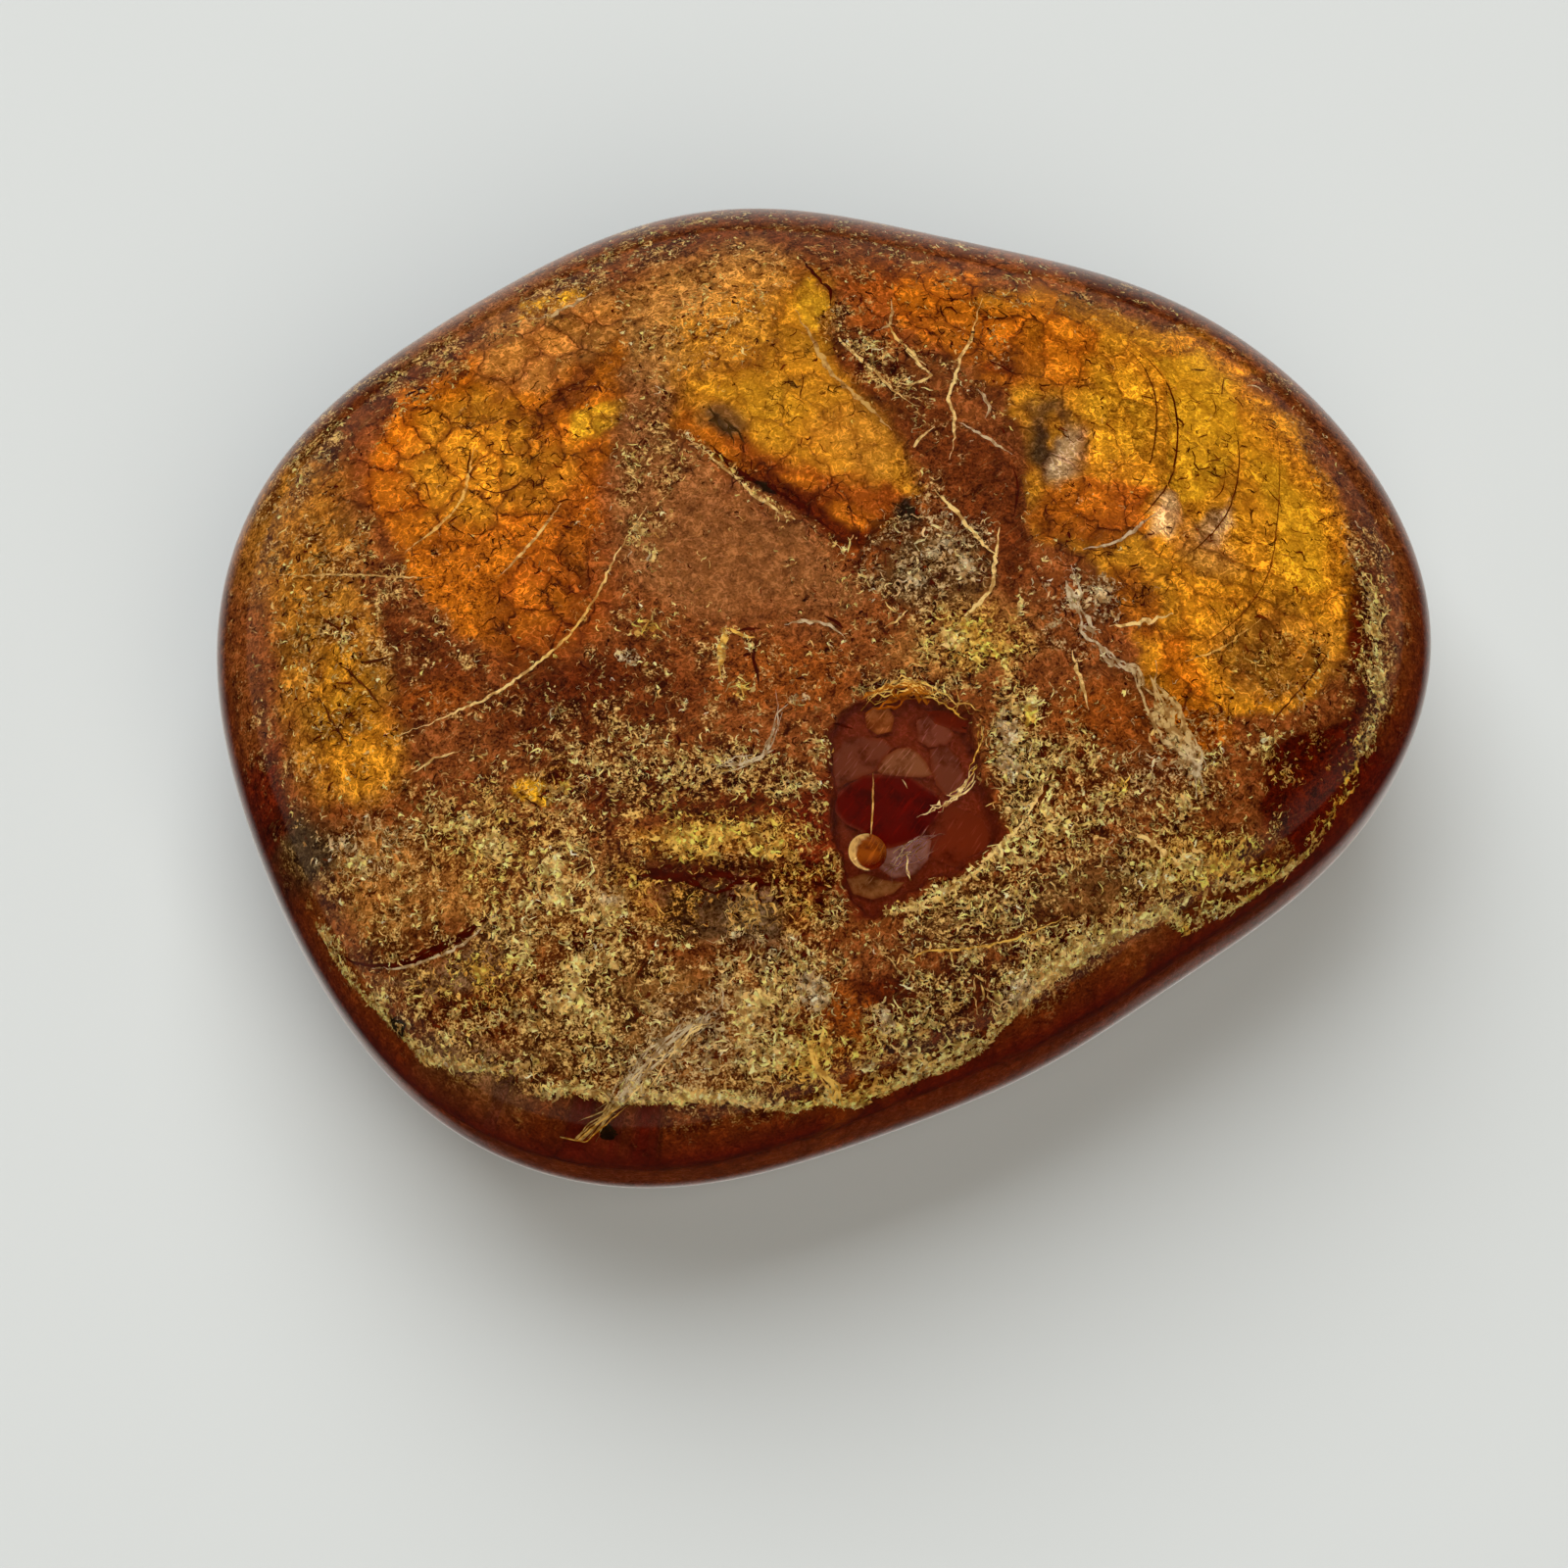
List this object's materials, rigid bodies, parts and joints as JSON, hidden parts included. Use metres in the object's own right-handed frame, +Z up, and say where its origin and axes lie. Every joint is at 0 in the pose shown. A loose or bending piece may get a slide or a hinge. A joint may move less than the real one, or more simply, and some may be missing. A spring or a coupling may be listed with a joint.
{
  "type": "amber stone",
  "caption": "Flattened, polished amber stone with a rounded, three-cornered outline, a soft hollow and one round pit on top, resting on a worn flat.",
  "frame": {"origin": "on the surface that the stone lies on, under the middle of its box", "axes": "+X along the stone's longest side, +Z up through its thickness; the flank with the clear red rim faces -Y"},
  "size_m": [0.06, 0.0516, 0.0185],
  "materials": {
    "amber": "polished clear amber, gold to dark red, with a cream-flecked, crazed layer close under the surface and fine scratches"
  },
  "bodies": {
    "root": {"amber_stone": "amber"}
  },
  "joints": []
}
